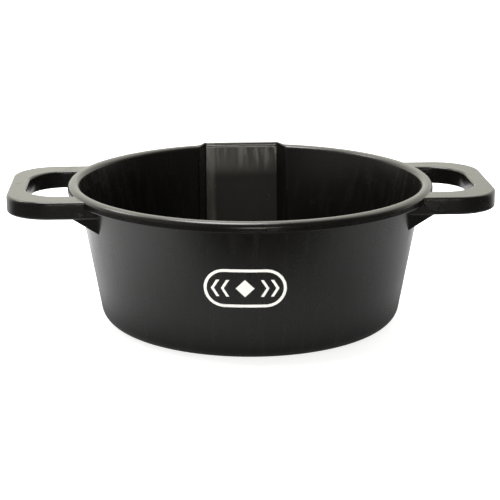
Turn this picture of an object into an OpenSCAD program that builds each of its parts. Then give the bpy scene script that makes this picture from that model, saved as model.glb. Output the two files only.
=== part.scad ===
// Round utility tub: a deep tapered pan with a rolled rim, two loop handles and a flat
// backed pouch in the rear wall. The tub is one moulding; its regions are separate closed
// solids that meet face to face. Origin: centre of the base, +X towards the right handle,
// +Y towards the pouch, +Z up. Millimetres.

/* [Tub] */
// Diameter over the rolled rim
rim_d = 420; // [380:5:460]
// Height from the base to the top of the rim
tub_h = 163; // [140:1:200]
// Slope of the wall away from vertical, in degrees
draft = 10; // [8:0.5:12]
// Thickness of the wall and floor
wall_t = 2.5; // [2:0.1:3]
// Outside radius of the round corner between wall and floor
heel_r = 20; // [12:1:28]

/* [Rolled rim] */
// Width of the rim seen from above
rim_w = 13.5; // [12.5:0.5:16]
// Depth of the rim's outer lip below its top
rim_drop = 11; // [9:0.5:14]
// Radius of both edges of the rim's flat top
crown_r = 6; // [3:0.5:6]

/* [Rear pouch] */
// Inside half width of the flat back panel
panel_half = 46; // [35:1:50]
// Inside face of the panel, measured from the tub's axis at the top edge
panel_y = 212; // [208:1:215]
// Half width of the pouch's mouth where it meets the wall
mouth_half = 55; // [52:1:60]
// Distance from the axis to the mouth's edge at the top
mouth_y = 190; // [187:1:192]
// Height of the thick strip along the panel's top edge
strip_h = 4; // [3:0.5:6]
// How far that strip stands in from the panel
strip_t = 0.8; // [0.4:0.1:1.2]

/* [Handles] */
// Distance from the axis to a handle's far face
handle_x = 276; // [265:1:285]
// Half length of a handle along Y
handle_half = 95; // [85:1:100]
// Height of a handle's top face above the base
handle_z = 160; // [135:0.5:160]
// Depth of a handle bar from top to bottom
handle_h = 20; // [18:0.5:24]
// Width of the outer bar, which the hand holds
grip_w = 21; // [18:1:24]
// Width of the two arms between the grip and the tub
arm_w = 31; // [22:1:34]
// Plan radius of a handle's outer corner
handle_corner_r = 50; // [40:1:55]
// Plan radius of the hand hole's corner
hole_corner_r = 40; // [25:1:44]
// Radius of the rounded top edges
edge_r = 3; // [2.5:0.5:5]
// Thickness of the handle's top and sides
handle_t = 3; // [2.5:0.5:4]

/* [Gussets] */
// Distance of a gusset's middle from the handle's centre line
gusset_y = 85; // [80:1:88]
// Distance from the axis to the gusset's outer tip
gusset_x = 203; // [195:1:205]
// Height of the gusset's lowest point above the base
gusset_z = 121; // [108:0.5:128]
// Thickness of a gusset
gusset_t = 3; // [2.5:0.5:4]

/* [Emblem] */
// Length of the printed emblem
emblem_w = 88; // [70:1:100]
// Height of the printed emblem
emblem_h = 44; // [30:1:46]
// Height of the emblem's middle above the base
emblem_z = 86; // [70:1:95]
// Turn of the emblem about the tub's axis, in degrees
emblem_turn = -4.8; // [-10:0.2:10]
// Width of the emblem's outline
emblem_line = 3.2; // [2.5:0.1:4]
// Thickness of the print
emblem_t = 0.3; // [0.2:0.05:0.4]

/* [Hidden] */
$fn = 96;

moulding_colour = [0.10, 0.10, 0.11];
print_colour = [0.93, 0.93, 0.92];
over = 12;            // how far walls and cutting shapes run on above the rim
spare = 1;            // how far a cutting shape stands past the face it cuts
lean = cos(draft);    // a length across the sloping wall, over the same length on the level

// Rolled rim: a flat top between two rounded edges, with a straight lip outside.
rim_r = rim_d / 2;
crown_x = rim_r - rim_w + crown_r;
outer_x = rim_r - crown_r;
crown_z = tub_h - crown_r;
lip_z = tub_h - rim_drop;

// Radius of the wall's inside face at height z. It runs on from the crown without a kink.
function wall_in(z) =
    crown_x - crown_r * lean + (z - crown_z - crown_r * sin(draft)) * tan(draft);
// Radius of the wall's outside face at height z.
function wall_out(z) = wall_in(z) + wall_t / lean;
// A point on a circle about the crown or heel, at the edge between arc and straight wall.
function on_wall(centre, r, side) = centre + r * [side * lean, -side * sin(draft)];

heel = [wall_out(heel_r) - heel_r / lean, heel_r];
crown = [crown_x, crown_z];
heel_in_r = heel_r - wall_t;
crown_in_r = crown_r - wall_t;

// Pouch: how far its profile is pushed out from the wall's, and its cheeks' direction.
pouch_shift = panel_y - wall_in(tub_h);
cheek_run = [mouth_half - panel_half, (mouth_y - panel_y) * lean];
cheek_turn = atan2(cheek_run.x, -cheek_run.y);
cheek_out = [cos(cheek_turn), sin(cheek_turn)];
cheek_reach = 2.2;    // cheek lines run this many times past the mouth, to cut the wall
panel_in = [panel_half, panel_y * lean];
panel_foot = panel_in + [wall_t / cos(cheek_turn), 0];
panel_out = panel_in + [wall_t * (1 - sin(cheek_turn)) / cos(cheek_turn), wall_t];
cheek_end = panel_in + cheek_reach * cheek_run;

// Handles: the hand hole and the height of the hollow under the top plate.
hole_x = handle_x - grip_w;
hole_half = handle_half - arm_w;
corner_x = handle_x - handle_corner_r;
root_x = 150;         // inside the tub, so that the arms are cut to its wall

// Emblem: sizes as shares of its height, but for the lean, a share of a chevron's half height.
diamond_side = 0.32;
chevron_start = 0.38;
chevron_step = 0.24;
chevron_half = 0.22;
chevron_lean = 0.6;

function flip(p) = [-p.x, p.y];

// ---- Profiles, with x as the distance from the axis and y as the height ----

module wall_section() {
    polygon([
        on_wall(crown, crown_r, -1), on_wall(crown, crown_in_r, -1),
        on_wall(heel, heel_r, 1), on_wall(heel, heel_in_r, 1)
    ]);
}

// The straight wall's profile, carried on above the rim for the pouch's panel.
module wall_above_heel() {
    top = tub_h + over;
    polygon([
        on_wall(heel, heel_in_r, 1), on_wall(heel, heel_r, 1), [wall_out(top), top], [wall_in(top), top]
    ]);
}

module heel_section() {
    far = 2 * heel_r;
    translate(heel) intersection() {
        difference() {
            circle(heel_r);
            circle(heel_in_r);
        }
        polygon([[0, 0], [0, -far], [far, -far], on_wall([0, 0], far, 1)]);
    }
}

// The rim filled in, with both edges of its top rounded to radius r. top is its height.
module rim_block(r, right, top, low) {
    for (x = [crown_x, outer_x]) translate([x, crown_z]) circle(r);
    translate([crown_x, low]) square([outer_x - crown_x, top - low]);
    translate([crown_x, low]) square([right - crown_x, crown_z - low]);
}

module rim_section() {
    far = 2 * rim_w;
    difference() {
        rim_block(crown_r, rim_r, tub_h, lip_z);
        rim_block(crown_in_r, rim_r - wall_t, tub_h - wall_t, lip_z - spare);
        translate(crown) polygon([
            [0, 0], on_wall([0, 0], far, -1), [-far, -far], [crown_r, -far], [crown_r, 0]
        ]);
    }
}

// The base and everything within the tub's outside face, where r is heel_r, or within its
// inside face, where r is heel_in_r.
module solid_section(r) {
    top = tub_h + over;
    side = r == heel_r ? wall_out(top) : wall_in(top);
    above_arc = [heel.x, heel_r - r / 2];
    polygon([[0, 0], [heel.x, 0], above_arc, on_wall(heel, r, 1), [side, top], [0, top]]);
    translate(heel) circle(r);
}

// ---- Pouch building blocks ----

// An upright shape that leans with the wall: its outline is drawn square to the slope.
module leaning(outline) {
    length = 2 * tub_h;
    intersection() {
        rotate([-draft, 0, 0]) translate([0, 0, -tub_h]) linear_extrude(length + tub_h)
            polygon([for (p = outline) p - [0, tub_h * sin(draft)]]);
        translate([-rim_r, 0, 0]) cube([rim_d, rim_d, tub_h + over]);
    }
}

// A profile swept straight along X, at the pouch's distance from the axis.
module pouch_sweep(half_width) {
    translate([-half_width, pouch_shift, 0]) rotate([90, 0, 90])
        linear_extrude(2 * half_width) children();
}

module pouch_block() {
    side = cheek_end + wall_t * cheek_out;
    leaning([panel_out, side, flip(side), flip(panel_out)]);
}

module pouch_space() {
    leaning([panel_in, cheek_end, flip(cheek_end), flip(panel_in)]);
}

module panel_block() {
    leaning([panel_out, panel_foot, flip(panel_foot), flip(panel_out)]);
}

module right_cheek_solid() {
    intersection() {
        leaning([panel_in, panel_foot, cheek_end + wall_t * cheek_out, cheek_end]);
        pouch_sweep(rim_r) solid_section(heel_r);
        difference() {
            cylinder(h = tub_h, r = rim_d);
            rotate_extrude() solid_section(heel_in_r);
        }
    }
}

// ---- Handle building blocks, for the right-hand handle ----

module rounded_end(x_end, half, r) {
    translate([root_x, -half]) square([x_end - r - root_x, 2 * half]);
    translate([root_x, r - half]) square([x_end - root_x, 2 * (half - r)]);
    for (side = [-1, 1]) translate([x_end - r, side * (half - r)]) circle(r);
}

// Plan of the loop, with both edges moved into the bar by inset.
module loop_plan(inset) {
    difference() {
        rounded_end(handle_x - inset, handle_half - inset, handle_corner_r - inset);
        rounded_end(hole_x + inset, hole_half + inset, hole_corner_r + inset);
    }
}

// What rounding takes off a top edge: x runs out of the bar, y up.
module edge_waste() {
    translate([-edge_r, -edge_r]) difference() {
        square(edge_r + spare);
        circle(edge_r);
    }
}

// The same, carried round one outline. out is 1 at the outside edge and -1 at the hole.
module edge_waste_loop(x_end, half, r, out) {
    for (side = [-1, 1]) {
        translate([x_end - r, side * (half - r), handle_z])
            rotate([0, 0, side > 0 ? 0 : -90])
            rotate_extrude(angle = 90) translate([r, 0]) facing_x(out) edge_waste();
        translate([root_x, side * half, handle_z]) rotate([90, 0, 90])
            linear_extrude(x_end - r - root_x) facing_x(side * out) edge_waste();
    }
    translate([x_end, half - r, handle_z]) rotate([90, 0, 0])
        linear_extrude(2 * (half - r)) facing_x(out) edge_waste();
}

// Its children as drawn, or mirrored across X where side is negative.
module facing_x(side) {
    if (side > 0) children();
    else mirror([1, 0]) children();
}

// What the handle is cut back to: the wall, and above lip_z the outside of the rim.
module tub_block() {
    rotate_extrude() {
        solid_section(heel_r);
        rim_block(crown_r, rim_r, tub_h, lip_z);
    }
}

module handle_loop() {
    bottom = handle_z - handle_h;
    difference() {
        translate([0, 0, bottom]) linear_extrude(handle_h) loop_plan(0);
        translate([0, 0, bottom - spare]) linear_extrude(handle_h - handle_t + spare)
            loop_plan(handle_t);
        edge_waste_loop(handle_x, handle_half, handle_corner_r, 1);
        edge_waste_loop(hole_x, hole_half, hole_corner_r, -1);
        tub_block();
    }
}

module arm_solid(side) {
    intersection() {
        handle_loop();
        translate([0, side > 0 ? 0 : -rim_r, 0]) cube([corner_x, rim_r, tub_h]);
    }
}

module grip_solid() {
    intersection() {
        handle_loop();
        translate([corner_x, -rim_r, 0]) cube([rim_r, rim_d, tub_h]);
    }
}

// A web under the arm, which also runs up inside its hollow to the top plate.
module gusset_solid(side) {
    bottom = handle_z - handle_h;
    reach = sqrt(pow(wall_out(gusset_z), 2) - pow(gusset_y, 2));
    difference() {
        translate([0, side * gusset_y + gusset_t / 2, 0]) rotate([90, 0, 0])
            linear_extrude(gusset_t) polygon([
                [root_x, handle_z - handle_t], [gusset_x, handle_z - handle_t],
                [gusset_x, bottom], [reach, gusset_z], [root_x, gusset_z]
            ]);
        tub_block();
    }
}

// ---- Emblem ----

// A capsule outline round a diamond with two chevrons on each side.
module emblem_plan() {
    r = emblem_h / 2;
    flat = emblem_w - emblem_h;
    difference() {
        capsule(flat, r);
        capsule(flat, r - emblem_line);
    }
    rotate(45) square(emblem_h * diamond_side, center = true);
    for (side = [-1, 1], step = [0, 1])
        facing_x(side) translate([emblem_h * (chevron_start + chevron_step * step), 0]) chevron();
}

module capsule(flat, r) {
    square([flat, 2 * r], center = true);
    for (side = [-1, 1]) translate([side * flat / 2, 0]) circle(r);
}

module chevron() {
    half = emblem_h * chevron_half;
    tip = half * chevron_lean;
    polygon([
        [0, -half], [emblem_line, -half], [emblem_line + tip, 0],
        [emblem_line, half], [0, half], [tip, 0]
    ]);
}

// ---- Nodes ----

module basin_floor() {
    color(moulding_colour) cylinder(h = wall_t, r = heel.x);
}

module basin_heel() {
    color(moulding_colour) difference() {
        rotate_extrude() heel_section();
        pouch_block();
    }
}

module basin_wall() {
    color(moulding_colour) difference() {
        rotate_extrude() wall_section();
        pouch_block();
    }
}

module rolled_rim() {
    color(moulding_colour) difference() {
        rotate_extrude() rim_section();
        pouch_block();
    }
}

module back_panel() {
    strip_front = [panel_half, panel_y * lean - strip_t];
    strip_back = [panel_half, panel_y * lean + wall_t / 2];
    color(moulding_colour) intersection() {
        union() {
            intersection() {
                panel_block();
                pouch_sweep(rim_r) wall_above_heel();
            }
            intersection() {
                leaning([strip_front, strip_back, flip(strip_back), flip(strip_front)]);
                translate([-rim_r, 0, tub_h - strip_h]) cube([rim_d, rim_d, strip_h]);
            }
        }
        translate([-rim_r, 0, 0]) cube([rim_d, rim_d, tub_h]);
    }
}

module left_cheek() {
    color(moulding_colour) mirror([1, 0, 0]) right_cheek_solid();
}

module right_cheek() {
    color(moulding_colour) right_cheek_solid();
}

module pouch_heel() {
    color(moulding_colour) intersection() {
        pouch_sweep(rim_r) heel_section();
        union() {
            pouch_space();
            panel_block();
        }
    }
}

module pouch_floor() {
    color(moulding_colour) difference() {
        intersection() {
            pouch_space();
            translate([-rim_r, 0, 0]) cube([rim_d, heel.x + pouch_shift, wall_t]);
        }
        cylinder(h = 3 * wall_t, r = heel.x, center = true);
    }
}

module left_grip() {
    color(moulding_colour) mirror([1, 0, 0]) grip_solid();
}

module left_front_arm() {
    color(moulding_colour) mirror([1, 0, 0]) arm_solid(-1);
}

module left_rear_arm() {
    color(moulding_colour) mirror([1, 0, 0]) arm_solid(1);
}

module right_grip() {
    color(moulding_colour) grip_solid();
}

module right_front_arm() {
    color(moulding_colour) arm_solid(-1);
}

module right_rear_arm() {
    color(moulding_colour) arm_solid(1);
}

module left_front_gusset() {
    color(moulding_colour) mirror([1, 0, 0]) gusset_solid(-1);
}

module left_rear_gusset() {
    color(moulding_colour) mirror([1, 0, 0]) gusset_solid(1);
}

module right_front_gusset() {
    color(moulding_colour) gusset_solid(-1);
}

module right_rear_gusset() {
    color(moulding_colour) gusset_solid(1);
}

module front_emblem() {
    low = emblem_z - emblem_h;
    high = emblem_z + emblem_h;
    skin = emblem_t / lean;
    color(print_colour) rotate([0, 0, emblem_turn]) intersection() {
        rotate_extrude() polygon([
            [wall_out(low), low], [wall_out(low) + skin, low],
            [wall_out(high) + skin, high], [wall_out(high), high]
        ]);
        translate([0, 0, emblem_z]) rotate([90, 0, 0]) linear_extrude(rim_r) emblem_plan();
    }
}

basin_floor();
basin_heel();
basin_wall();
rolled_rim();
back_panel();
left_cheek();
right_cheek();
pouch_heel();
pouch_floor();
left_grip();
left_front_arm();
left_rear_arm();
right_grip();
right_front_arm();
right_rear_arm();
left_front_gusset();
left_rear_gusset();
right_front_gusset();
right_rear_gusset();
front_emblem();
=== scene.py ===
"""Looks of the round utility tub: one black moulding in named regions, with a printed emblem.

Every region is built here as a closed mesh of its own that replaces its CAD node. Sizes are in
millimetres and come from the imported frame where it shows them, else from the design's values.
"""

import math

import bpy
import numpy as np
from mathutils import Euler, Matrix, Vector


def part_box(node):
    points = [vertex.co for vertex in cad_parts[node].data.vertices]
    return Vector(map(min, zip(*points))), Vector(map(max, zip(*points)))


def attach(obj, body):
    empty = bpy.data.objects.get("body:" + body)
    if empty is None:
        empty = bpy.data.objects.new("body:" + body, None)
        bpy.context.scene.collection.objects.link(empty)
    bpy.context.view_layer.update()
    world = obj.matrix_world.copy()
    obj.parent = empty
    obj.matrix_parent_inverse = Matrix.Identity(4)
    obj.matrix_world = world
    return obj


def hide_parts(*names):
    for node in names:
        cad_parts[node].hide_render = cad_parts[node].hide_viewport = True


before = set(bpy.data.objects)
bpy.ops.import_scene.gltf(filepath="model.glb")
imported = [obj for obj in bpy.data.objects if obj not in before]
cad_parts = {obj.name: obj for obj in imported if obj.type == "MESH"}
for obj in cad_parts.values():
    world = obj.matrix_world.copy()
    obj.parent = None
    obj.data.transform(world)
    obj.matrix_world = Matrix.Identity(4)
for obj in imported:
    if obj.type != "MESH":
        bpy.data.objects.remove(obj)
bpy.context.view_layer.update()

MM = 0.001


def node_box(node):
    """Lowest and highest corner of a CAD node in millimetres."""
    low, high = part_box(node)
    return np.array(low) / MM, np.array(high) / MM


# ---- Sizes of the moulding, in millimetres ----

RIM_LOW, RIM_HIGH = node_box("rolled_rim")
GRIP_LOW, GRIP_HIGH = node_box("right_grip")
GUSSET_LOW, GUSSET_HIGH = node_box("right_front_gusset")

DRAFT = math.radians(10)
LEAN = math.cos(DRAFT)
TUB_H = RIM_HIGH[2]
LIP_Z = RIM_LOW[2]
RIM_R = RIM_HIGH[0]
RIM_W = 13.5
WALL_T = node_box("basin_floor")[1][2]
FLOOR_R = node_box("basin_floor")[1][0]
HEEL_R = 20.0
CROWN_R = 6.0            # both edges of the rim's narrow flat top
CROWN_X = RIM_R - RIM_W + CROWN_R
CROWN_Z = TUB_H - CROWN_R
OUTER_X = RIM_R - CROWN_R

PANEL_HALF = 46.0
PANEL_Y = 212.0
MOUTH_HALF = 55.0
MOUTH_Y = 190.0
MOUTH_FILLET = 4.0       # inside radius where the wall turns into a cheek
CORNER_FILLET = 1.4      # inside radius where a cheek meets the panel

HANDLE_X = GRIP_HIGH[0]
HANDLE_HALF = GRIP_HIGH[1]
HANDLE_TOP = GRIP_HIGH[2]
HANDLE_LOW = GRIP_LOW[2]
CORNER_X = GRIP_LOW[0]
OUTER_CORNER_R = HANDLE_X - CORNER_X
GRIP_W = 21.0
ARM_W = 31.0
HOLE_CORNER_R = 40.0
HANDLE_T = 3.0
TOP_EDGE_R = 3.0

EMBLEM_W = 88.0
EMBLEM_H = 44.0
EMBLEM_Z = 86.0
EMBLEM_TURN = math.radians(-4.8)
EMBLEM_LINE = 3.2
DIAMOND_SIDE = 0.32      # this and the next two are shares of EMBLEM_H
CHEVRON_STARTS = (0.38, 0.62)
CHEVRON_HALF = 0.22
CHEVRON_LEAN = 0.6       # a share of a chevron's half height
INK_T = 0.15


def wall_in(z):
    """Radius of the wall's inside face at height z, running on from the crown."""
    tangent_z = CROWN_Z + CROWN_R * math.sin(DRAFT)
    return CROWN_X - CROWN_R * LEAN + (z - tangent_z) * math.tan(DRAFT)


def wall_out(z):
    """Radius of the wall's outside face at height z."""
    return wall_in(z) + WALL_T / LEAN


POUCH_SHIFT = PANEL_Y - wall_in(TUB_H)
HEEL_X = wall_out(HEEL_R) - HEEL_R / LEAN


# ---- Mesh building ----

class Solid:
    """Collects polygons with their corner normals, and welds them into one closed mesh."""

    def __init__(self):
        self.faces = []
        self.normals = []

    def polygon(self, points, normals=None):
        points = [tuple(p) for p in points]
        if normals is None:
            flat = flat_normal(points)
            normals = [flat] * len(points)
        self.faces.append(points)
        self.normals.append([tuple(n) for n in normals])

    def grid(self, points, normals, flip=False):
        """Quads over a rows by columns array of points. flip turns the faces round."""
        rows, columns = points.shape[:2]
        for i in range(rows - 1):
            for j in range(columns - 1):
                corners = [(i, j), (i, j + 1), (i + 1, j + 1), (i + 1, j)]
                if flip:
                    corners.reverse()
                self.polygon([points[c] for c in corners], [normals[c] for c in corners])

    def strip(self, a, b, flip=False):
        """A flat-shaded band between two lines of points."""
        for i in range(len(a) - 1):
            corners = [a[i], a[i + 1], b[i + 1], b[i]]
            if flip:
                corners.reverse()
            self.polygon(corners)

    def cap(self, a, b, flip=False):
        """Closes the end between two lines, or the loop of one line."""
        if len(a) == len(b):
            self.strip(a, b, flip)
            return
        loop = list(a) + list(b)[::-1]
        if flip:
            loop.reverse()
        self.polygon(loop)

    def build(self, name):
        """Makes the Blender object, in metres, with its shading normals set."""
        index = {}
        vertices = []
        polygons = []
        loops = []
        for points, normals in zip(self.faces, self.normals):
            corner_ids = []
            corner_normals = []
            for point, normal in zip(points, normals):
                key = tuple(round(c, 4) for c in point)
                if key not in index:
                    index[key] = len(vertices)
                    vertices.append([c * MM for c in point])
                if index[key] not in corner_ids:
                    corner_ids.append(index[key])
                    corner_normals.append(normal)
            if len(corner_ids) > 2:
                polygons.append(corner_ids)
                loops.extend(corner_normals)
        mesh = bpy.data.meshes.new(name)
        mesh.from_pydata(vertices, [], polygons)
        mesh.polygons.foreach_set("use_smooth", [True] * len(polygons))
        mesh.normals_split_custom_set(loops)
        mesh.update()
        piece = bpy.data.objects.new(name, mesh)
        bpy.context.scene.collection.objects.link(piece)
        return piece


def flat_normal(points):
    """Unit normal of a polygon, by Newell's method."""
    total = np.zeros(3)
    for a, b in zip(points, points[1:] + points[:1]):
        total += np.cross(a, b)
    length = np.linalg.norm(total)
    return total / length if length > 0 else np.array([0.0, 0.0, 1.0])


def grid_normals(points):
    """Unit normals of a rows by columns array of points: columns crossed with rows."""
    along_rows = np.gradient(points, axis=0)
    along_columns = np.gradient(points, axis=1)
    normals = np.cross(along_columns, along_rows)
    return normals / np.linalg.norm(normals, axis=2, keepdims=True)


# ---- Plan of the bowl: a circle with the flat-backed pouch pushed out at +Y ----

CHEEK_TURN = math.atan2(MOUTH_HALF - PANEL_HALF, (PANEL_Y - MOUTH_Y) * LEAN)
CHEEK_NORMAL = np.array([
    math.cos(CHEEK_TURN),
    math.sin(CHEEK_TURN) * LEAN,
    -math.sin(CHEEK_TURN) * math.sin(DRAFT),
])
CHEEK_PLANE = CHEEK_NORMAL @ np.array([PANEL_HALF, PANEL_Y, TUB_H])
PANEL_STEPS = 10
CORNER_STEPS = 6
CHEEK_STEPS = 10
MOUTH_STEPS = 8
WALL_STEPS = 120
PANEL_END = PANEL_STEPS
CORNER_END = PANEL_END + CORNER_STEPS
CHEEK_END = CORNER_END + CHEEK_STEPS
MOUTH_END = CHEEK_END + MOUTH_STEPS


def cheek_line(z, depth):
    """The level line of a cheek's plane at height z, depth behind its inside face."""
    level = math.hypot(CHEEK_NORMAL[0], CHEEK_NORMAL[1])
    normal = CHEEK_NORMAL[:2] / level
    return normal, (CHEEK_PLANE + depth - CHEEK_NORMAL[2] * z) / level


def mouth_centre(r, z, depth):
    """Centre of the arc that joins a cheek to the circle of radius r."""
    fillet = MOUTH_FILLET - depth
    normal, distance = cheek_line(z, depth)
    distance += fillet
    along = -math.sqrt(max((r + fillet) ** 2 - distance ** 2, 0))
    return distance * normal + along * np.array([normal[1], -normal[0]])


def arc(centre, radius, start, end, steps):
    """Points along an arc, both ends included. Angles in radians."""
    angles = np.linspace(start, end, steps + 1)
    return np.array(centre) + radius * np.column_stack([np.cos(angles), np.sin(angles)])


def half_ring(r, z, depth):
    """The plan from the middle of the panel round the right-hand side to the front."""
    normal, distance = cheek_line(z, depth)
    corner_r = CORNER_FILLET + max(depth, 0)
    mouth_r = MOUTH_FILLET - depth
    panel_y = r + POUCH_SHIFT
    corner_y = panel_y - corner_r
    corner_x = (distance - corner_r - normal[1] * corner_y) / normal[0]
    facing = math.atan2(normal[1], normal[0])
    mouth = mouth_centre(r, z, depth)
    mouth_angle = math.atan2(mouth[1], mouth[0])
    panel = np.column_stack([
        np.linspace(0, corner_x, PANEL_STEPS + 1), np.full(PANEL_STEPS + 1, panel_y)
    ])
    corner = arc([corner_x, corner_y], corner_r, math.pi / 2, facing, CORNER_STEPS)
    bend = arc(mouth, mouth_r, facing - math.pi, mouth_angle - math.pi, MOUTH_STEPS)
    cheek = np.linspace(corner[-1], bend[0], CHEEK_STEPS + 1)
    wall = arc([0, 0], r, mouth_angle, -math.pi / 2, WALL_STEPS)
    plan = np.vstack([panel, corner[1:], cheek[1:], bend[1:], wall[1:]])
    return np.column_stack([plan, np.full(len(plan), z)])


# ---- Profile of the bowl, from the edge of the floor up to the rim ----

HEEL_ROWS = 12
WALL_ROWS = 24
SPLIT_Z = TUB_H - 6.0    # the pouch's plates change here from wall rows to top rows


def heel_profile(depth):
    """(radius, height) pairs round the heel, depth behind the inside face."""
    radius = HEEL_R - WALL_T + depth
    return arc([HEEL_X, HEEL_R], radius, -math.pi / 2, -DRAFT, HEEL_ROWS)


def wall_profile(depth):
    """(radius, height) pairs up the straight wall, depth behind the inside face."""
    heel_radius = HEEL_R - WALL_T + depth
    crown_radius = CROWN_R - depth
    start = HEEL_R - heel_radius * math.sin(DRAFT)
    end = CROWN_Z + crown_radius * math.sin(DRAFT)
    heights = np.append(np.linspace(start, SPLIT_Z, WALL_ROWS), end)
    return np.column_stack([wall_in(heights) + depth / LEAN, heights])


def bowl_face(depth):
    """Points over heel and wall, and their normals towards the axis."""
    profile = np.vstack([heel_profile(depth), wall_profile(depth)[1:]])
    points = np.array([half_ring(r, z, depth) for r, z in profile])
    normals = grid_normals(points)
    normals[0, :PANEL_END + 1] = [0, 0, 1]
    normals[0, MOUTH_END:] = [0, 0, 1]
    normals[:, -1, 0] = 0
    return points, normals


INSIDE, INSIDE_NORMALS = bowl_face(0)
OUTSIDE, OUTSIDE_NORMALS = bowl_face(WALL_T)
OUTSIDE_NORMALS = -OUTSIDE_NORMALS
HEEL = slice(0, HEEL_ROWS + 1)
WALL = slice(HEEL_ROWS, HEEL_ROWS + WALL_ROWS + 1)
SPLIT = HEEL_ROWS + WALL_ROWS - 1
PANEL_ROWS = slice(HEEL_ROWS, SPLIT + 1)
CHEEK_ROWS = slice(0, SPLIT + 1)
PANEL_COLUMNS = slice(0, PANEL_END + 1)
CHEEK_COLUMNS = slice(PANEL_END, MOUTH_END + 1)
WALL_COLUMNS = slice(MOUTH_END, MOUTH_END + WALL_STEPS + 1)


RIGHT = np.array([1.0, 1.0, 1.0])
LEFT = np.array([-1.0, 1.0, 1.0])


def add_sheet(solid, front, back, signs, ends):
    """Both faces of a bent plate, and the bands that close its named ends.

    front and back are pairs of points and normals, rows by columns. signs mirrors them.
    """
    turned = bool(np.prod(signs) < 0)
    front_points, front_normals = front[0] * signs, front[1] * signs
    back_points, back_normals = back[0] * signs, back[1] * signs
    solid.grid(front_points, front_normals, turned)
    solid.grid(back_points, back_normals, not turned)
    if "bottom" in ends:
        solid.strip(front_points[0], back_points[0], not turned)
    if "top" in ends:
        solid.strip(front_points[-1], back_points[-1], turned)
    if "first" in ends:
        solid.cap(front_points[:, 0], back_points[:, 0], turned)
    if "last" in ends:
        solid.cap(front_points[:, -1], back_points[:, -1], not turned)


def add_bowl(solid, rows, columns, signs, ends):
    inside = INSIDE[rows, columns], INSIDE_NORMALS[rows, columns]
    outside = OUTSIDE[rows, columns], OUTSIDE_NORMALS[rows, columns]
    add_sheet(solid, inside, outside, signs, ends)


def basin_heel():
    solid = Solid()
    for signs in (RIGHT, LEFT):
        add_bowl(solid, HEEL, WALL_COLUMNS, signs, ("bottom", "top", "first"))
    return solid.build("heel_moulding")


def basin_wall():
    solid = Solid()
    for signs in (RIGHT, LEFT):
        add_bowl(solid, WALL, WALL_COLUMNS, signs, ("bottom", "top", "first"))
    return solid.build("wall_moulding")


def pouch_heel():
    solid = Solid()
    for signs in (RIGHT, LEFT):
        add_bowl(solid, HEEL, PANEL_COLUMNS, signs, ("bottom", "top", "last"))
    return solid.build("pouch_heel_moulding")


# ---- Top edges of the pouch ----

STRIP_PROUD = 0.8        # the thick strip along the panel's top edge
STRIP_LOW = TUB_H - 4.0
STEP_RISE = np.array([0.0, 0.6, 0.8, 1.0, 1.15])     # heights over the strip's lower edge
STEP_DEPTH = STRIP_PROUD * np.array([0.0, 0.0, 0.3, 0.85, 1.0])
ROUND_STEPS = 8
CROWN_KNEE = math.radians(130)   # where the crown starts to narrow into a cheek's edge
CROWN_ANGLES = np.concatenate([
    np.linspace(math.pi - DRAFT, CROWN_KNEE, len(STEP_RISE))[:-1],
    np.linspace(CROWN_KNEE, math.pi / 2, ROUND_STEPS + 1),
])


def crown_depth(angle):
    """How far a cheek's edge has moved from its inside to its outside face."""
    return WALL_T * np.clip((CROWN_KNEE - angle) / (CROWN_KNEE - math.pi / 2), 0, 1)


def rounded_top(front):
    """(height, depth) pairs over an edge, from depth front to the back face."""
    radius = (WALL_T - front) / 2
    angles = np.linspace(math.pi, 0, ROUND_STEPS + 1)
    depths = front + radius + radius * np.cos(angles)
    return np.column_stack([TUB_H - radius + radius * np.sin(angles), depths])


def top_rows(kind):
    """(radius, height, depth) rows over the top of the panel, of a cheek or of the rim's end."""
    heights = SPLIT_Z + (STRIP_LOW - SPLIT_Z) * STEP_RISE
    if kind == "crown":
        heights = CROWN_Z + CROWN_R * np.sin(CROWN_ANGLES)
        radii = CROWN_X + CROWN_R * np.cos(CROWN_ANGLES)
        over = np.column_stack([radii, heights, crown_depth(CROWN_ANGLES)])
        down = [[wall_out(z), z, WALL_T] for z in (CROWN_Z, SPLIT_Z)]
        return np.vstack([[wall_in(SPLIT_Z), SPLIT_Z, 0], over, down])
    proud = STRIP_PROUD if kind == "strip" else 0
    rise = np.column_stack([heights, -STEP_DEPTH * (kind == "strip")])
    down = [[heights[-1], WALL_T], [SPLIT_Z, WALL_T]]
    rows = np.vstack([rise, rounded_top(-proud), down])
    return np.column_stack([wall_in(rows[:, 0]) + rows[:, 1] / LEAN, rows])


def top_face():
    """Points over the pouch's top edge, blended from panel to cheek to rim end."""
    rings = {
        kind: np.array([half_ring(r, z, depth)[:MOUTH_END + 1] for r, z, depth in top_rows(kind)])
        for kind in ("strip", "plate", "crown")
    }
    columns = np.arange(MOUTH_END + 1)
    strip = np.clip((CORNER_END - columns) / CORNER_STEPS, 0, 1)
    crown = np.clip((columns - CORNER_END) / CHEEK_STEPS, 0, 1)
    crown = crown * crown * (3 - 2 * crown)
    weights = {"strip": strip, "plate": 1 - strip - crown, "crown": crown}
    points = sum(weights[kind][None, :, None] * rings[kind] for kind in rings)
    points[0] = INSIDE[SPLIT, :MOUTH_END + 1]
    points[-1] = OUTSIDE[SPLIT, :MOUTH_END + 1]
    normals = grid_normals(points)
    normals[0] = INSIDE_NORMALS[SPLIT, :MOUTH_END + 1]
    normals[-1] = OUTSIDE_NORMALS[SPLIT, :MOUTH_END + 1]
    return points, normals


TOP, TOP_NORMALS = top_face()


def add_top(solid, columns, signs, ends):
    """The edge over the pouch's top, with flat ends that meet the plate's own."""
    turned = bool(np.prod(signs) < 0)
    points = TOP[:, columns] * signs
    solid.grid(points, TOP_NORMALS[:, columns] * signs, turned)
    if "first" in ends:
        solid.cap(points[:, 0], [], turned)
    if "last" in ends:
        solid.cap(points[:, -1], [], not turned)


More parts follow.
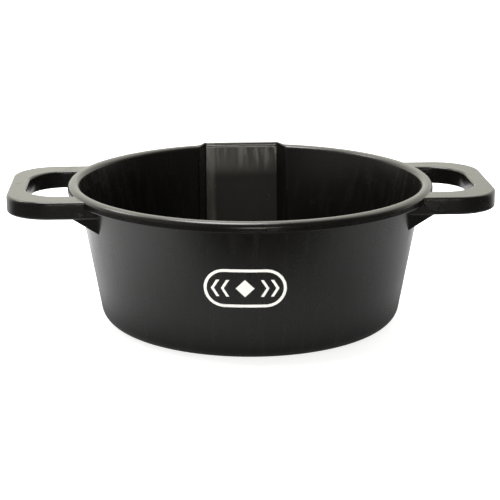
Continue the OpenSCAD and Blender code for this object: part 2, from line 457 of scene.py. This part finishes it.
def back_panel():
    solid = Solid()
    for signs in (RIGHT, LEFT):
        add_bowl(solid, PANEL_ROWS, PANEL_COLUMNS, signs, ("bottom", "last"))
        add_top(solid, PANEL_COLUMNS, signs, ("last",))
    return solid.build("panel_moulding")


def cheek(name, signs):
    solid = Solid()
    add_bowl(solid, CHEEK_ROWS, CHEEK_COLUMNS, signs, ("bottom", "first", "last"))
    add_top(solid, CHEEK_COLUMNS, signs, ("first", "last"))
    return solid.build(name)


# ---- Floors ----

def pouch_floor():
    """The floor's tongue under the pouch, from the round floor's edge to the panel's heel."""
    solid = Solid()
    rims = [INSIDE[0, :MOUTH_END + 1], OUTSIDE[0, :MOUTH_END + 1]]
    for signs in (RIGHT, LEFT):
        turned = bool(np.prod(signs) < 0)
        faces = []
        for rim in rims:
            mouth_angle = math.atan2(rim[-1, 1], rim[-1, 0])
            edge = arc([0, 0], FLOOR_R, math.pi / 2, mouth_angle, MOUTH_END)
            edge = np.column_stack([edge, rim[:, 2]])
            edge[-1] = rim[-1]
            faces.append((edge * signs, rim * signs))
        (top_edge, top_rim), (low_edge, low_rim) = faces
        solid.strip(top_edge, top_rim, turned)
        solid.strip(low_edge, low_rim, not turned)
        solid.strip(low_rim, top_rim, not turned)
        solid.strip(low_edge, top_edge, turned)
    return solid.build("pouch_floor_moulding")


FLOOR_RINGS = (0.02, 0.25, 0.5, 0.75, 1.0)     # shares of the floor's radius


def basin_floor():
    """The round floor, as rings of quads round a small middle disc."""
    solid = Solid()
    steps = 2 * WALL_STEPS
    faces = []
    for z in (0, WALL_T):
        rings = []
        for share in FLOOR_RINGS:
            ring = arc([0, 0], share * FLOOR_R, 0, 2 * math.pi, steps)
            ring[-1] = ring[0]
            rings.append(np.column_stack([ring, np.full(steps + 1, float(z))]))
        faces.append(np.array(rings))
    low, high = faces
    down = np.broadcast_to([0.0, 0.0, -1.0], low.shape)
    solid.grid(low, down)
    solid.grid(high, -down, True)
    solid.polygon(low[0, -1:0:-1])
    solid.polygon(high[0, :-1])
    solid.strip(low[-1], high[-1])
    return solid.build("floor_moulding")


# ---- Rolled rim ----

LIP_R = WALL_T / 2
ARC_POINTS = 9           # points in each arc of the section
FLAT_POINTS = 6          # points over its flat top, with both ends


def rim_arc(x, radius, angles, facing, depths):
    """Section rows round an edge of the rim: (radius, height, depth, outward, upward)."""
    return [
        [x + radius * math.cos(a), CROWN_Z + radius * math.sin(a), depth,
         facing * math.cos(a), facing * math.sin(a)] for a, depth in zip(angles, depths)
    ]


def rim_rows():
    """The rim's section, from the wall's inside over the top, round the lip and back below."""
    full = np.full(ARC_POINTS, WALL_T)
    quarter = np.linspace(math.pi / 2, 0, ARC_POINTS)
    back = np.linspace(math.pi / 2, math.pi - DRAFT, ARC_POINTS)
    flat = np.linspace(CROWN_X, OUTER_X, FLAT_POINTS)[1:-1]
    rows = rim_arc(CROWN_X, CROWN_R, CROWN_ANGLES, 1, crown_depth(CROWN_ANGLES))
    rows += [[x, TUB_H, WALL_T, 0, 1] for x in flat]
    rows += rim_arc(OUTER_X, CROWN_R, quarter, 1, full)
    for a in np.linspace(0, -math.pi, ARC_POINTS):
        rows.append([
            RIM_R - LIP_R + LIP_R * math.cos(a), LIP_Z + LIP_R + LIP_R * math.sin(a), WALL_T,
            math.cos(a), math.sin(a)
        ])
    rows += rim_arc(OUTER_X, CROWN_R - WALL_T, quarter[::-1], -1, full)
    rows += rim_arc(CROWN_X, CROWN_R - WALL_T, back, -1, full)
    return rows


def rolled_rim():
    solid = Solid()
    points = []
    normals = []
    for r, z, depth, outward, upward in rim_rows():
        mouth = mouth_centre(r, z, depth)
        ring = arc([0, 0], r, math.atan2(mouth[1], mouth[0]), -math.pi / 2, WALL_STEPS)
        points.append(np.column_stack([ring, np.full(len(ring), z)]))
        facing = ring / r * outward
        normals.append(np.column_stack([facing, np.full(len(ring), upward)]))
    points = np.array(points)
    normals = np.array(normals)
    for signs in (RIGHT, LEFT):
        turned = bool(np.prod(signs) < 0)
        solid.grid(points * signs, normals * signs, turned)
        solid.strip(points[-1] * signs, points[0] * signs, turned)
        solid.cap(points[:, 0] * signs, [], turned)
    return solid.build("rim_moulding")


# ---- Handles: an inverted channel swept round the loop, quarter by quarter ----

HOLE_X = HANDLE_X - GRIP_W
HOLE_HALF = HANDLE_HALF - ARM_W
HOLE_CENTRE = [HOLE_X - HOLE_CORNER_R, HOLE_HALF - HOLE_CORNER_R]
OUTER_CENTRE = [CORNER_X, HANDLE_HALF - OUTER_CORNER_R]
BEND_STEPS = 28
BAR_STEPS = 12
ARM_STEPS = 12
SINK = 0.3               # how far a web or arm runs into the tub's wall
LOW_OUTER_R = 2.4        # rounding of the lower edges, outside and in the hole
LOW_INNER_R = 1.4
HOLLOW_R = 1.2           # rounding inside the hollow
ROUND_POINTS = 6         # points in each of these arcs
LIP_ROW = 8.0            # a row this far below the rim's lip keeps the side's quads short


def tub_radius(z, above_lip):
    """Radius of the tub's outside at height z, where a handle or a web meets it."""
    if not above_lip:
        return wall_out(z)
    if z < CROWN_Z:
        return RIM_R
    return OUTER_X + math.sqrt(CROWN_R ** 2 - (z - CROWN_Z) ** 2)


def quarter_round(edge, r, inset, z, start, end):
    """Points round a corner of the section: (edge, inset, height, above the lip)."""
    angles = np.linspace(start, end, ROUND_POINTS)
    return [(edge, inset + r * math.cos(a), z + r * math.sin(a), z > LIP_Z) for a in angles]


def outside_path():
    """The section's skin, from the outer lower edge over the top to the hole's lower edge."""
    levels = [(LIP_Z - LIP_ROW, False), (LIP_Z, False), (LIP_Z, True)]
    outer_side = [("outer", 0.0, z, above) for z, above in levels]
    hole_side = [("hole", 0.0, z, above) for z, above in levels[::-1]]
    low, turn = math.pi, math.pi / 2
    top = HANDLE_TOP - TOP_EDGE_R
    return (
        quarter_round("outer", LOW_OUTER_R, LOW_OUTER_R, HANDLE_LOW + LOW_OUTER_R, 3 * turn, low)
        + outer_side
        + quarter_round("outer", TOP_EDGE_R, TOP_EDGE_R, top, low, turn)
        + quarter_round("hole", TOP_EDGE_R, TOP_EDGE_R, top, turn, low)
        + hole_side
        + quarter_round("hole", LOW_INNER_R, LOW_INNER_R, HANDLE_LOW + LOW_INNER_R, low, 3 * turn)
    )


def hollow_path():
    """The section's hollow, in the same direction."""
    top = HANDLE_TOP - HANDLE_T
    corner = HANDLE_T + HOLLOW_R
    levels = [(HANDLE_LOW, False), (LIP_Z, False), (LIP_Z, True)]
    outer_side = [("outer", HANDLE_T, z, above) for z, above in levels]
    hole_side = [("hole", HANDLE_T, z, above) for z, above in levels[::-1]]
    turn = math.pi / 2
    return (
        outer_side
        + quarter_round("outer", HOLLOW_R, corner, top - HOLLOW_R, 2 * turn, turn)
        + quarter_round("hole", HOLLOW_R, corner, top - HOLLOW_R, turn, 2 * turn)
        + hole_side
    )


def grip_line(edge, inset, z, above_lip):
    """Stations from the middle of the bar round the corner to where the arm begins."""
    if edge == "outer":
        centre, radius = OUTER_CENTRE, OUTER_CORNER_R - inset
    else:
        centre, radius = HOLE_CENTRE, HOLE_CORNER_R + inset
    end = math.acos((CORNER_X - centre[0]) / radius)
    bend = arc(centre, radius, 0, end, BEND_STEPS)
    bar = np.linspace([bend[0, 0], 0], bend[0], BAR_STEPS + 1)
    plan = np.vstack([bar, bend[1:]])
    return np.column_stack([plan, np.full(len(plan), z)])


def arm_line(edge, inset, z, above_lip):
    """Stations from the corner back along the arm into the tub's wall."""
    if edge == "outer":
        y = HANDLE_HALF - inset
    else:
        y = HOLE_HALF + inset
    root = math.sqrt(tub_radius(z, above_lip) ** 2 - y ** 2) - SINK
    x = np.linspace(CORNER_X, root, ARM_STEPS + 1)
    ys = np.full(len(x), y)
    if edge == "hole":
        radius = HOLE_CORNER_R + inset
        past = np.maximum(x - HOLE_CENTRE[0], 0)
        ys = HOLE_CENTRE[1] + np.sqrt(radius ** 2 - past ** 2)
    return np.column_stack([x, ys, np.full(len(x), z)])


def swept(path, line):
    points = np.array([line(*place) for place in path])
    return points, grid_normals(points)


def handle_sheet(line):
    outside, outside_normals = swept(outside_path(), line)
    hollow, hollow_normals = swept(hollow_path(), line)
    return (outside, outside_normals), (hollow, -hollow_normals)


GRIP_SKIN, GRIP_HOLLOW = handle_sheet(grip_line)
ARM_SKIN, ARM_HOLLOW = handle_sheet(arm_line)


def grip(name, side):
    solid = Solid()
    for end in (1.0, -1.0):
        signs = np.array([side, end, 1.0])
        add_sheet(solid, GRIP_SKIN, GRIP_HOLLOW, signs, ("bottom", "top", "last"))
    return solid.build(name)


def arm(name, side, end):
    solid = Solid()
    signs = np.array([side, end, 1.0])
    add_sheet(solid, ARM_SKIN, ARM_HOLLOW, signs, ("bottom", "top", "first", "last"))
    return solid.build(name)


# ---- Webs under the arms ----

WEB_Y = (abs(GUSSET_LOW[1]) + abs(GUSSET_HIGH[1])) / 2
WEB_T = abs(GUSSET_LOW[1] - GUSSET_HIGH[1])
WEB_X = GUSSET_HIGH[0]
WEB_LOW = GUSSET_LOW[2]
WEB_HIGH = GUSSET_HIGH[2]
WEB_BEVEL = 0.6


def gusset(name, side, end):
    solid = Solid()
    signs = np.array([side, end, 1.0])
    turned = bool(np.prod(signs) < 0)
    near = WEB_Y - WEB_T / 2
    far = WEB_Y + WEB_T / 2
    foot = math.sqrt(tub_radius(WEB_LOW, False) ** 2 - WEB_Y ** 2)
    levels = [(WEB_LOW, False), (HANDLE_LOW, False), (LIP_Z, False), (LIP_Z, True), (WEB_HIGH, True)]
    rings = []
    for z, above_lip in levels:
        share = min((z - WEB_LOW) / (HANDLE_LOW - WEB_LOW), 1)
        tip = foot + (WEB_X - foot) * share
        radius = tub_radius(z, above_lip)
        roots = [math.sqrt(radius ** 2 - y ** 2) - SINK for y in (near, far)]
        rings.append([
            [min(roots[0], tip - WEB_BEVEL), near, z], [tip - WEB_BEVEL, near, z],
            [tip, near + WEB_BEVEL, z], [tip, far - WEB_BEVEL, z],
            [tip - WEB_BEVEL, far, z], [min(roots[1], tip - WEB_BEVEL), far, z]
        ])
    rings = np.array(rings) * signs
    for lower, upper in zip(rings[:-1], rings[1:]):
        solid.strip(np.vstack([lower, lower[:1]]), np.vstack([upper, upper[:1]]), turned)
    solid.polygon(rings[0] if turned else rings[0][::-1])
    solid.polygon(rings[-1][::-1] if turned else rings[-1])
    return solid.build(name)


# ---- Emblem: a capsule outline round a diamond and two chevrons a side ----

INK_SINK = 0.1


def on_front(plan, raised):
    """Emblem plan points, rows by columns of (across, up), laid on the wall and turned."""
    across = plan[..., 0]
    z = EMBLEM_Z + plan[..., 1]
    inward = -np.sqrt((wall_out(z) + raised) ** 2 - across ** 2)
    x = across * math.cos(EMBLEM_TURN) - inward * math.sin(EMBLEM_TURN)
    y = across * math.sin(EMBLEM_TURN) + inward * math.cos(EMBLEM_TURN)
    return np.stack([x, y, z], axis=-1)


def add_ink(solid, plan, closed=False):
    """A thin plate over a rows by columns plan whose rows run up and columns across."""
    front = on_front(plan, INK_T)
    back = on_front(plan, -INK_SINK)
    front_normals = front * np.array([1.0, 1.0, 0.0])
    front_normals /= np.linalg.norm(front_normals, axis=-1, keepdims=True)
    front_normals[..., 2] = -math.tan(DRAFT)
    ends = ("bottom", "top") if closed else ("bottom", "top", "first", "last")
    add_sheet(solid, (front, front_normals), (back, -front_normals), RIGHT, ends)


def capsule_line(radius):
    """The capsule's outline at this end radius, clockwise and closed."""
    flat = (EMBLEM_W - EMBLEM_H) / 2
    straight = np.linspace([-flat, radius], [flat, radius], 17)
    right = arc([flat, 0], radius, math.pi / 2, -math.pi / 2, 32)
    half = np.vstack([straight, right[1:-1]])
    loop = np.vstack([half, -half])
    return np.vstack([loop, loop[:1]])


def emblem():
    solid = Solid()
    outer = capsule_line(EMBLEM_H / 2)
    inner = capsule_line(EMBLEM_H / 2 - EMBLEM_LINE)
    add_ink(solid, np.array([inner, outer]), closed=True)
    reach = DIAMOND_SIDE * EMBLEM_H / math.sqrt(2)
    share = np.linspace(0, 1, 9)
    corner = np.array([0, -reach])
    right_up = np.array([reach, reach])
    left_up = np.array([-reach, reach])
    add_ink(solid, corner + share[:, None, None] * left_up + share[None, :, None] * right_up)
    half = CHEVRON_HALF * EMBLEM_H
    bend = CHEVRON_LEAN * half
    for place in CHEVRON_STARTS:
        up = np.linspace(-half, half, 13)
        start = place * EMBLEM_H + bend * (1 - np.abs(up) / half)
        across = np.stack([start, start + EMBLEM_LINE / 2, start + EMBLEM_LINE], axis=-1)
        plan = np.stack([across, np.broadcast_to(up[:, None], across.shape)], axis=-1)
        add_ink(solid, plan)
        add_ink(solid, plan[:, ::-1] * np.array([-1.0, 1.0]))
    return solid.build("emblem_print")


# ---- Materials ----

class Nodes:
    """Short ways to add and link shader nodes in one tree."""

    def __init__(self, tree):
        self.tree = tree
        tree.nodes.clear()

    def add(self, kind, **settings):
        node = self.tree.nodes.new(kind)
        for key, value in settings.items():
            setattr(node, key, value)
        return node

    def feed(self, socket, value):
        """Links an output to this socket, or sets it to a plain value."""
        if isinstance(value, bpy.types.NodeSocket):
            self.tree.links.new(value, socket)
        else:
            socket.default_value = value

    def math(self, operation, a, b=0.0, clamp=False):
        node = self.add("ShaderNodeMath", operation=operation, use_clamp=clamp)
        self.feed(node.inputs[0], a)
        self.feed(node.inputs[1], b)
        return node.outputs[0]

    def total(self, *parts):
        """All the parts added up."""
        result = parts[0]
        for part in parts[1:]:
            result = self.math("ADD", result, part)
        return result

    def product(self, *parts):
        """All the parts multiplied together."""
        result = parts[0]
        for part in parts[1:]:
            result = self.math("MULTIPLY", result, part)
        return result

    def ramp(self, value, low, high, start=0.0, end=1.0):
        """Smoothly from start at low to end at high."""
        node = self.add("ShaderNodeMapRange", interpolation_type="SMOOTHSTEP")
        for socket, given in zip(node.inputs, (value, low, high, start, end)):
            self.feed(socket, given)
        return node.outputs[0]

    def mix(self, share, a, b):
        """Mixes two colours."""
        node = self.add("ShaderNodeMix", data_type="RGBA")
        self.feed(node.inputs[0], share)
        self.feed(node.inputs[6], a)
        self.feed(node.inputs[7], b)
        return node.outputs[2]

    def split(self, vector):
        """A vector's x, y and z."""
        node = self.add("ShaderNodeSeparateXYZ")
        self.feed(node.inputs[0], vector)
        return node.outputs

    def place(self, stretch=(1, 1, 1)):
        """Object coordinates in metres, scaled along each axis."""
        coordinates = self.add("ShaderNodeTexCoord")
        mapping = self.add("ShaderNodeMapping")
        self.feed(mapping.inputs[0], coordinates.outputs["Object"])
        mapping.inputs["Scale"].default_value = stretch
        return mapping.outputs[0]

    def noise(self, size, detail=3.0, stretch=(1, 1, 1), rough=0.5):
        """Noise from 0 to 1 whose features are about size millimetres across."""
        node = self.add("ShaderNodeTexNoise")
        self.feed(node.inputs["Vector"], self.place(stretch))
        node.inputs["Scale"].default_value = 1 / (size * MM)
        node.inputs["Detail"].default_value = detail
        node.inputs["Roughness"].default_value = rough
        return node.outputs[0]

    def bump(self, height, depth, normal=None):
        """Bump whose height of 1 stands depth millimetres proud."""
        node = self.add("ShaderNodeBump")
        node.inputs["Strength"].default_value = 1.0
        node.inputs["Distance"].default_value = depth * MM
        self.feed(node.inputs["Height"], height)
        if normal is not None:
            self.feed(node.inputs["Normal"], normal)
        return node.outputs[0]


def surface(name):
    """A new material with a Principled shader: (material, nodes, shader)."""
    material = bpy.data.materials.new(name)
    material.use_nodes = True
    nodes = Nodes(material.node_tree)
    shader = nodes.add("ShaderNodeBsdfPrincipled")
    output = nodes.add("ShaderNodeOutputMaterial")
    nodes.feed(output.inputs["Surface"], shader.outputs[0])
    return material, nodes, shader


BLACK_DEEP = (0.0026, 0.0023, 0.0021)
BLACK_WORN = (0.0056, 0.0051, 0.0046)
DRAG_GREY = (0.036, 0.033, 0.029, 1)
# Painted reflection: the light grey painted as a strip on the pouch panel's left edge.
PAINTED_SHEEN_GREY = (0.150, 0.138, 0.124, 1)
FLECK_GREY = (0.022, 0.020, 0.018, 1)
DUST_GREY = (0.20, 0.19, 0.17, 1)
DRAG_RELIEF = 0.2        # mm of relief in the drag marks at full strength
SHINE_SPREAD = 0.10      # how far the roughness ranges, from the shiniest cloud to the dullest
DUST_ROUGHNESS = 0.8     # how much a full coat of dust adds
SHEEN_STRIP_X = -31.0         # the painted reflection strip lies to the left of this
SHEEN_STRIP_BLEND = 7.0


def black_plastic(name, roughness, grain, streaks=0.0, dust=0.0, ripple=0.10, painted_light_lift=1.0, painted_sheen=0.0):
    """Moulded black plastic.

    grain is the height of the fine texture in mm, streaks how strongly drag marks run down
    the walls, dust how much has settled on level faces, ripple the height of slow waves in mm,
    painted_light_lift how far painted light lifts the black, and painted_sheen how strongly a
    painted reflection lightens the strip left of SHEEN_STRIP_X.
    """
    material, nodes, shader = surface(name)
    cloud = nodes.noise(70, 4.0)
    speckle = nodes.noise(1.6, 2.0)
    drag = nodes.ramp(nodes.noise(9, 3.0, (1, 1, 0.05)), 0.45, 0.72)
    scuff = nodes.ramp(nodes.noise(26, 6.0, (1, 1, 1.7), 0.62), 0.55, 0.72, 0.0, 0.07)
    fleck = nodes.ramp(nodes.noise(5.0, 3.0), 0.68, 0.80, 0.0, 0.30)

    # Painted reflection: a lighter strip along the left edge of the pouch panel, broken into patches.
    x = nodes.split(nodes.place())[0]
    strip = nodes.ramp(x, SHEEN_STRIP_X * MM, (SHEEN_STRIP_X - SHEEN_STRIP_BLEND) * MM)
    sheen_patches = nodes.ramp(nodes.noise(12, 4.0, (1, 1, 0.12)), 0.25, 0.65, 0.45, 1.0)
    facing = nodes.add("ShaderNodeNewGeometry").outputs["Normal"]
    level = nodes.ramp(nodes.split(facing)[2], 0.75, 1.0)
    settled = nodes.ramp(nodes.noise(14, 5.0), 0.3, 0.75, 0.25, 1.0)
    dusty = nodes.product(level, settled, dust)

    # Painted light: the black is multiplied up here, a lighter copy of the same plastic standing in for
    # the sheen on the pouch panel and cheeks.
    deep, worn = ([painted_light_lift * c for c in black] + [1] for black in (BLACK_DEEP, BLACK_WORN))
    colour = nodes.mix(cloud, deep, worn)
    colour = nodes.mix(nodes.product(drag, streaks), colour, DRAG_GREY)
    colour = nodes.mix(nodes.product(strip, sheen_patches, painted_sheen), colour, PAINTED_SHEEN_GREY)
    colour = nodes.mix(fleck, colour, FLECK_GREY)
    nodes.feed(shader.inputs["Base Color"], nodes.mix(dusty, colour, DUST_GREY))

    shine = nodes.total(nodes.product(cloud, SHINE_SPREAD), roughness - SHINE_SPREAD / 2)
    marks = nodes.total(nodes.product(drag, streaks), scuff, nodes.product(dusty, DUST_ROUGHNESS))
    nodes.feed(shader.inputs["Roughness"], nodes.total(shine, marks))
    shader.inputs["IOR"].default_value = 1.5

    waves = nodes.bump(nodes.noise(55, 1.0), ripple)
    lines = nodes.bump(drag, DRAG_RELIEF * streaks, waves)
    nodes.feed(shader.inputs["Normal"], nodes.bump(speckle, grain, lines))
    return material


def white_ink(name):
    """Flat off-white print with a little wear, so that the plastic shows through in specks."""
    material, nodes, shader = surface(name)
    patchy = nodes.noise(16, 4.0)
    ink = nodes.mix(patchy, (0.78, 0.77, 0.74, 1), (0.90, 0.89, 0.87, 1))
    worn = nodes.ramp(nodes.noise(1.3, 4.0, rough=0.6), 0.66, 0.74, 0.0, 0.75)
    nodes.feed(shader.inputs["Base Color"], nodes.mix(worn, ink, (0.03, 0.03, 0.028, 1)))
    nodes.feed(shader.inputs["Roughness"], nodes.ramp(patchy, 0.3, 0.7, 0.5, 0.62))
    nodes.feed(shader.inputs["Normal"], nodes.bump(nodes.noise(0.9, 2.0), 0.02))
    return material


wall_plastic = black_plastic("wall_plastic", 0.24, 0.010, streaks=0.05)
floor_plastic = black_plastic("floor_plastic", 0.36, 0.014, dust=0.08)
# Painted light: the pouch's black is lifted and carries a painted reflection strip on its left; the
# cheeks' black is lifted a little.
pouch_plastic = black_plastic("pouch_plastic", 0.12, 0.006, streaks=0.12, dust=0.02, painted_light_lift=7.0, painted_sheen=0.75)
cheek_plastic = black_plastic("cheek_plastic", 0.20, 0.006, streaks=0.12, painted_light_lift=1.5)
rim_plastic = black_plastic("rim_plastic", 0.26, 0.010, dust=0.03, ripple=0.04)
handle_plastic = black_plastic("handle_plastic", 0.24, 0.010, dust=0.03, ripple=0.05)
web_plastic = black_plastic("web_plastic", 0.20, 0.010)
print_ink = white_ink("print_ink")


# ---- Pieces ----

def finish_piece(piece, node, material):
    piece.data.materials.append(material)
    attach(piece, "root")
    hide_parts(node)


finish_piece(basin_floor(), "basin_floor", floor_plastic)
finish_piece(basin_heel(), "basin_heel", wall_plastic)
finish_piece(basin_wall(), "basin_wall", wall_plastic)
finish_piece(rolled_rim(), "rolled_rim", rim_plastic)
finish_piece(back_panel(), "back_panel", pouch_plastic)
finish_piece(pouch_heel(), "pouch_heel", pouch_plastic)
finish_piece(pouch_floor(), "pouch_floor", floor_plastic)
for word, side in (("left", -1.0), ("right", 1.0)):
    signs = np.array([side, 1.0, 1.0])
    finish_piece(cheek(f"{word}_cheek_moulding", signs), f"{word}_cheek", cheek_plastic)
    finish_piece(grip(f"{word}_grip_moulding", side), f"{word}_grip", handle_plastic)
    for end_word, end in (("front", -1.0), ("rear", 1.0)):
        place = f"{word}_{end_word}"
        finish_piece(arm(f"{place}_arm_moulding", side, end), f"{place}_arm", handle_plastic)
        finish_piece(gusset(f"{place}_web", side, end), f"{place}_gusset", web_plastic)
finish_piece(emblem(), "front_emblem", print_ink)


# ---- Floor, light and camera ----

def level_square(name, reach, height=0.0):
    mesh = bpy.data.meshes.new(name)
    corners = [(-reach, -reach), (reach, -reach), (reach, reach), (-reach, reach)]
    mesh.from_pydata([(x, y, height) for x, y in corners], [], [(0, 1, 2, 3)])
    square = bpy.data.objects.new(name, mesh)
    bpy.context.scene.collection.objects.link(square)
    return square


def pale_floor():
    """A plain pale floor, bright enough to read as white."""
    floor = level_square("studio_floor", 12.0)
    material, nodes, shader = surface("studio_floor")
    shader.inputs["Base Color"].default_value = (0.62, 0.62, 0.62, 1)
    shader.inputs["Roughness"].default_value = 0.9
    shader.inputs["Emission Color"].default_value = (1, 1, 1, 1)
    shader.inputs["Emission Strength"].default_value = 0.84
    floor.data.materials.append(material)
    floor.visible_glossy = False


def floor_glow():
    """What the gloss sees of the lit floor: bright at the sides and behind, dark far in front."""
    glow = level_square("studio_floor_glow", 12.0, 0.0005)
    material = bpy.data.materials.new("studio_floor_glow")
    material.use_nodes = True
    nodes = Nodes(material.node_tree)
    place = nodes.place()
    x, y, _ = nodes.split(place)
    length = nodes.add("ShaderNodeVectorMath", operation="LENGTH")
    nodes.feed(length.inputs[0], place)
    distance = length.outputs["Value"]

    near = nodes.product(nodes.ramp(y, -0.42, -0.25, 0.0, 0.5), nodes.ramp(x, -0.22, 0.10, 1.4, 0.95))
    left = nodes.ramp(x, -0.12, -0.50, 0.0, 1.0)
    right = nodes.ramp(x, 0.15, 0.55, 0.0, 0.5)
    behind = nodes.ramp(y, 0.10, 0.50, 0.0, 1.0)
    fading = nodes.ramp(distance, 0.42, 0.66, 1.0, 0.05)
    shaded = nodes.ramp(distance, 0.14, 0.25, 0.12, 1.0)
    lit = nodes.total(nodes.product(nodes.total(near, left, right), fading), behind)

    light = nodes.add("ShaderNodeEmission")
    nodes.feed(light.inputs["Strength"], nodes.product(nodes.math("MINIMUM", lit, 1.7), shaded))
    output = nodes.add("ShaderNodeOutputMaterial")
    nodes.feed(output.inputs["Surface"], light.outputs[0])
    glow.data.materials.append(material)
    glow.visible_camera = False
    glow.visible_diffuse = False
    glow.visible_shadow = False


def studio_world():
    """Surroundings, by direction: bright behind and above the tub, with a low card in front."""
    world = bpy.data.worlds.new("studio")
    bpy.context.scene.world = world
    world.use_nodes = True
    nodes = Nodes(world.node_tree)
    x, y, z = nodes.split(nodes.add("ShaderNodeTexCoord").outputs["Generated"])

    behind = nodes.product(nodes.ramp(y, 0.05, 0.60, 0.0, 1.5), nodes.ramp(x, 0.05, 0.30, 1.0, 0.75))
    left = nodes.ramp(x, -0.35, -0.90, 0.0, 0.35)
    overhead = nodes.product(nodes.ramp(z, 0.35, 0.75, 0.0, 1.7), nodes.ramp(y, -0.2, 0.3))
    card_sides = nodes.product(nodes.ramp(x, -0.22, -0.04), nodes.ramp(x, 0.24, 0.10))
    card_ends = nodes.product(nodes.ramp(z, -0.02, 0.01), nodes.ramp(z, 0.113, 0.062))
    card = nodes.product(nodes.ramp(y, 0.0, -0.5), card_sides, card_ends, 17.0)

    background = nodes.add("ShaderNodeBackground")
    strength = nodes.total(nodes.math("MAXIMUM", behind, left), 0.09, overhead, card)
    nodes.feed(background.inputs["Strength"], strength)
    background.inputs["Color"].default_value = (1.0, 0.99, 0.88, 1)
    output = nodes.add("ShaderNodeOutputWorld")
    nodes.feed(output.inputs["Surface"], background.outputs[0])


def softbox(name, place, target, size, power):
    """A soft area light that faces target."""
    light = bpy.data.lights.new(name, "AREA")
    light.shape = "DISK"
    light.size = size
    light.energy = power
    lamp = bpy.data.objects.new(name, light)
    lamp.location = place
    aim = Vector(target) - Vector(place)
    lamp.rotation_euler = aim.to_track_quat("-Z", "Y").to_euler()
    bpy.context.scene.collection.objects.link(lamp)


CAMERA_PLACE = Vector((-96.2, -1760.0, 559.4)) * MM
CAMERA_DOWN = math.radians(15.3)
CAMERA_ROLL = 0.0006
CAMERA_TURN = math.radians(-3.13)
LENS_MM = 112.41


def camera():
    """The camera at the viewing angle: just above the rim, looking down a little."""
    lens = bpy.data.cameras.new("camera")
    lens.lens = LENS_MM
    lens.sensor_width = 36.0
    eye = bpy.data.objects.new("camera", lens)
    eye.location = CAMERA_PLACE
    eye.rotation_euler = Euler((math.pi / 2 - CAMERA_DOWN, CAMERA_ROLL, CAMERA_TURN))
    bpy.context.scene.collection.objects.link(eye)
    bpy.context.scene.camera = eye


bpy.context.scene.view_settings.view_transform = "Standard"
pale_floor()
floor_glow()
studio_world()
softbox("left_soft", (-1.8, 0.8, 2.0), (0, 0, 0.1), 0.7, 12)
softbox("overhead_soft", (-0.3, -0.05, 2.0), (0, 0, 0.1), 1.1, 42)
camera()
